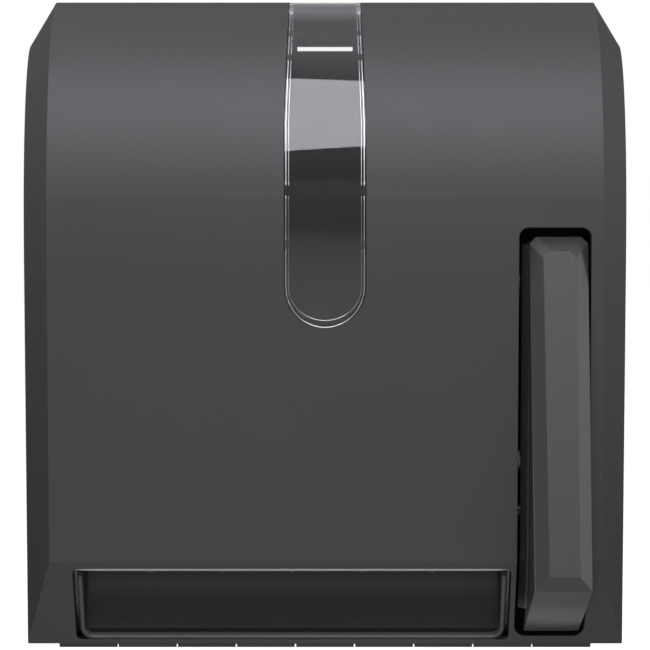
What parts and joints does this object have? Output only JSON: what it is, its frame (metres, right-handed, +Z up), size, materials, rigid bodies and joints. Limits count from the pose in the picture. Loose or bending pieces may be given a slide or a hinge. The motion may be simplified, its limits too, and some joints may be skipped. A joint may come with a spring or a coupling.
{
  "type": "lever paper towel dispenser",
  "caption": "Wall-hung roll towel dispenser with a domed hinged cover, clear sight strip and a long push lever that feeds towel through a wide mouth.",
  "frame": {"origin": "middle of the wall screw pattern on the back face", "axes": "+X to the right seen from the front, +Y into the wall, +Z up"},
  "size_m": [0.33, 0.2495, 0.3623],
  "materials": {
    "cover_plastic": "fine matt charcoal moulding",
    "clear_plastic": "clear gloss moulding",
    "inner_plastic": "satin dark moulding",
    "gear_plastic": "natural acetal",
    "steel": "plated steel",
    "frame_steel": "black coated steel",
    "chrome": "polished",
    "rubber": "matt rubber"
  },
  "bodies": {
    "housing": {"rear_housing": "cover_plastic", "hinge_rod": "steel", "left_frame": "frame_steel", "right_frame": "frame_steel", "lever_frame": "frame_steel", "frame_screws": "steel", "feed_bushes": "gear_plastic", "idler_pin": "steel", "lever_pivot_pin": "steel", "pin_clips": "steel", "lever_return_spring": "steel", "lever_bumper": "rubber", "pinch_pivot_rod": "steel", "pinch_springs": "steel", "paper_chute": "inner_plastic", "chute_screws": "steel", "tear_bar": "steel", "tear_bar_screws": "steel", "right_roll_arm": "inner_plastic", "arm_bracket": "inner_plastic", "arm_pivot_pin": "steel", "arm_spring": "steel", "latch_catch": "steel"},
    "cover": {"front_cover": "cover_plastic", "sight_window": "clear_plastic", "lock_sleeve": "chrome"},
    "lock": {"lock_plug": "chrome", "lock_cam": "steel"},
    "lever": {"lever_paddle": "cover_plastic", "lever_sector": "gear_plastic", "sector_screws": "steel"},
    "idler": {"idler_gear": "gear_plastic"},
    "feed": {"feed_shaft": "steel", "feed_core": "inner_plastic", "rubber_sleeves": "rubber", "feed_pinion": "gear_plastic"},
    "pinch_frame": {"pinch_carrier": "inner_plastic"},
    "pinch_rolls": {"pinch_shaft": "steel", "pinch_rollers": "rubber"},
    "left_arm": {"left_roll_arm": "inner_plastic"},
    "left_hub": {"left_roll_hub": "inner_plastic"},
    "right_hub": {"right_roll_hub": "inner_plastic"}
  },
  "joints": [
    {"name": "cover_hinge", "type": "hinge", "parent": "housing", "child": "cover", "pos_m": [0, -0.17246, -0.1771], "axis": [1, 0, 0], "range_deg": [0, 95]},
    {"name": "lock_turn", "type": "hinge", "parent": "cover", "child": "lock", "pos_m": [0.095, -0.06, 0.17], "axis": [0, 0, -1], "range_deg": [0, 90]},
    {"name": "lever_push", "type": "hinge", "parent": "housing", "child": "lever", "pos_m": [0.126, -0.18, 0.025], "axis": [1, 0, 0], "range_deg": [0, 14], "stiffness_Nm_per_rad": 0.6, "springref_deg": -28.65, "deforming": ["lever_return_spring"]},
    {"name": "idler_spin", "type": "hinge", "parent": "housing", "child": "idler", "pos_m": [0.12, -0.14081, -0.07644], "axis": [1, 0, 0], "range_deg": [-161, 1]},
    {"name": "feed_spin", "type": "hinge", "parent": "housing", "child": "feed", "pos_m": [0, -0.15, -0.105], "axis": [1, 0, 0], "range_deg": [-1, 321]},
    {"name": "pinch_spin", "type": "hinge", "parent": "pinch_frame", "child": "pinch_rolls", "pos_m": [0, -0.1743, -0.105], "axis": [1, 0, 0], "range_deg": [-642, 2]},
    {"name": "pinch_lift", "type": "hinge", "parent": "housing", "child": "pinch_frame", "pos_m": [0, -0.184, -0.074], "axis": [-1, 0, 0], "range_deg": [0, 4], "stiffness_Nm_per_rad": 1, "springref_deg": -17.19, "deforming": ["pinch_springs"]},
    {"name": "left_arm_swing", "type": "hinge", "parent": "housing", "child": "left_arm", "pos_m": [-0.12365, -0.016, 0.06], "axis": [0, 0, -1], "range_deg": [0, 12], "stiffness_Nm_per_rad": 1.5, "springref_deg": -17.19, "deforming": ["arm_spring"]},
    {"name": "left_hub_spin", "type": "hinge", "parent": "left_arm", "child": "left_hub", "pos_m": [-0.115, -0.113, 0.06], "axis": [1, 0, 0], "continuous": true},
    {"name": "right_hub_spin", "type": "hinge", "parent": "housing", "child": "right_hub", "pos_m": [0.079, -0.113, 0.06], "axis": [1, 0, 0], "continuous": true}
  ],
  "couplings": [
    {"joint": "idler_spin", "follows": "lever_push", "ratio": -11.429},
    {"joint": "feed_spin", "follows": "lever_push", "ratio": 22.857},
    {"joint": "pinch_spin", "follows": "lever_push", "ratio": -45.714}
  ]
}
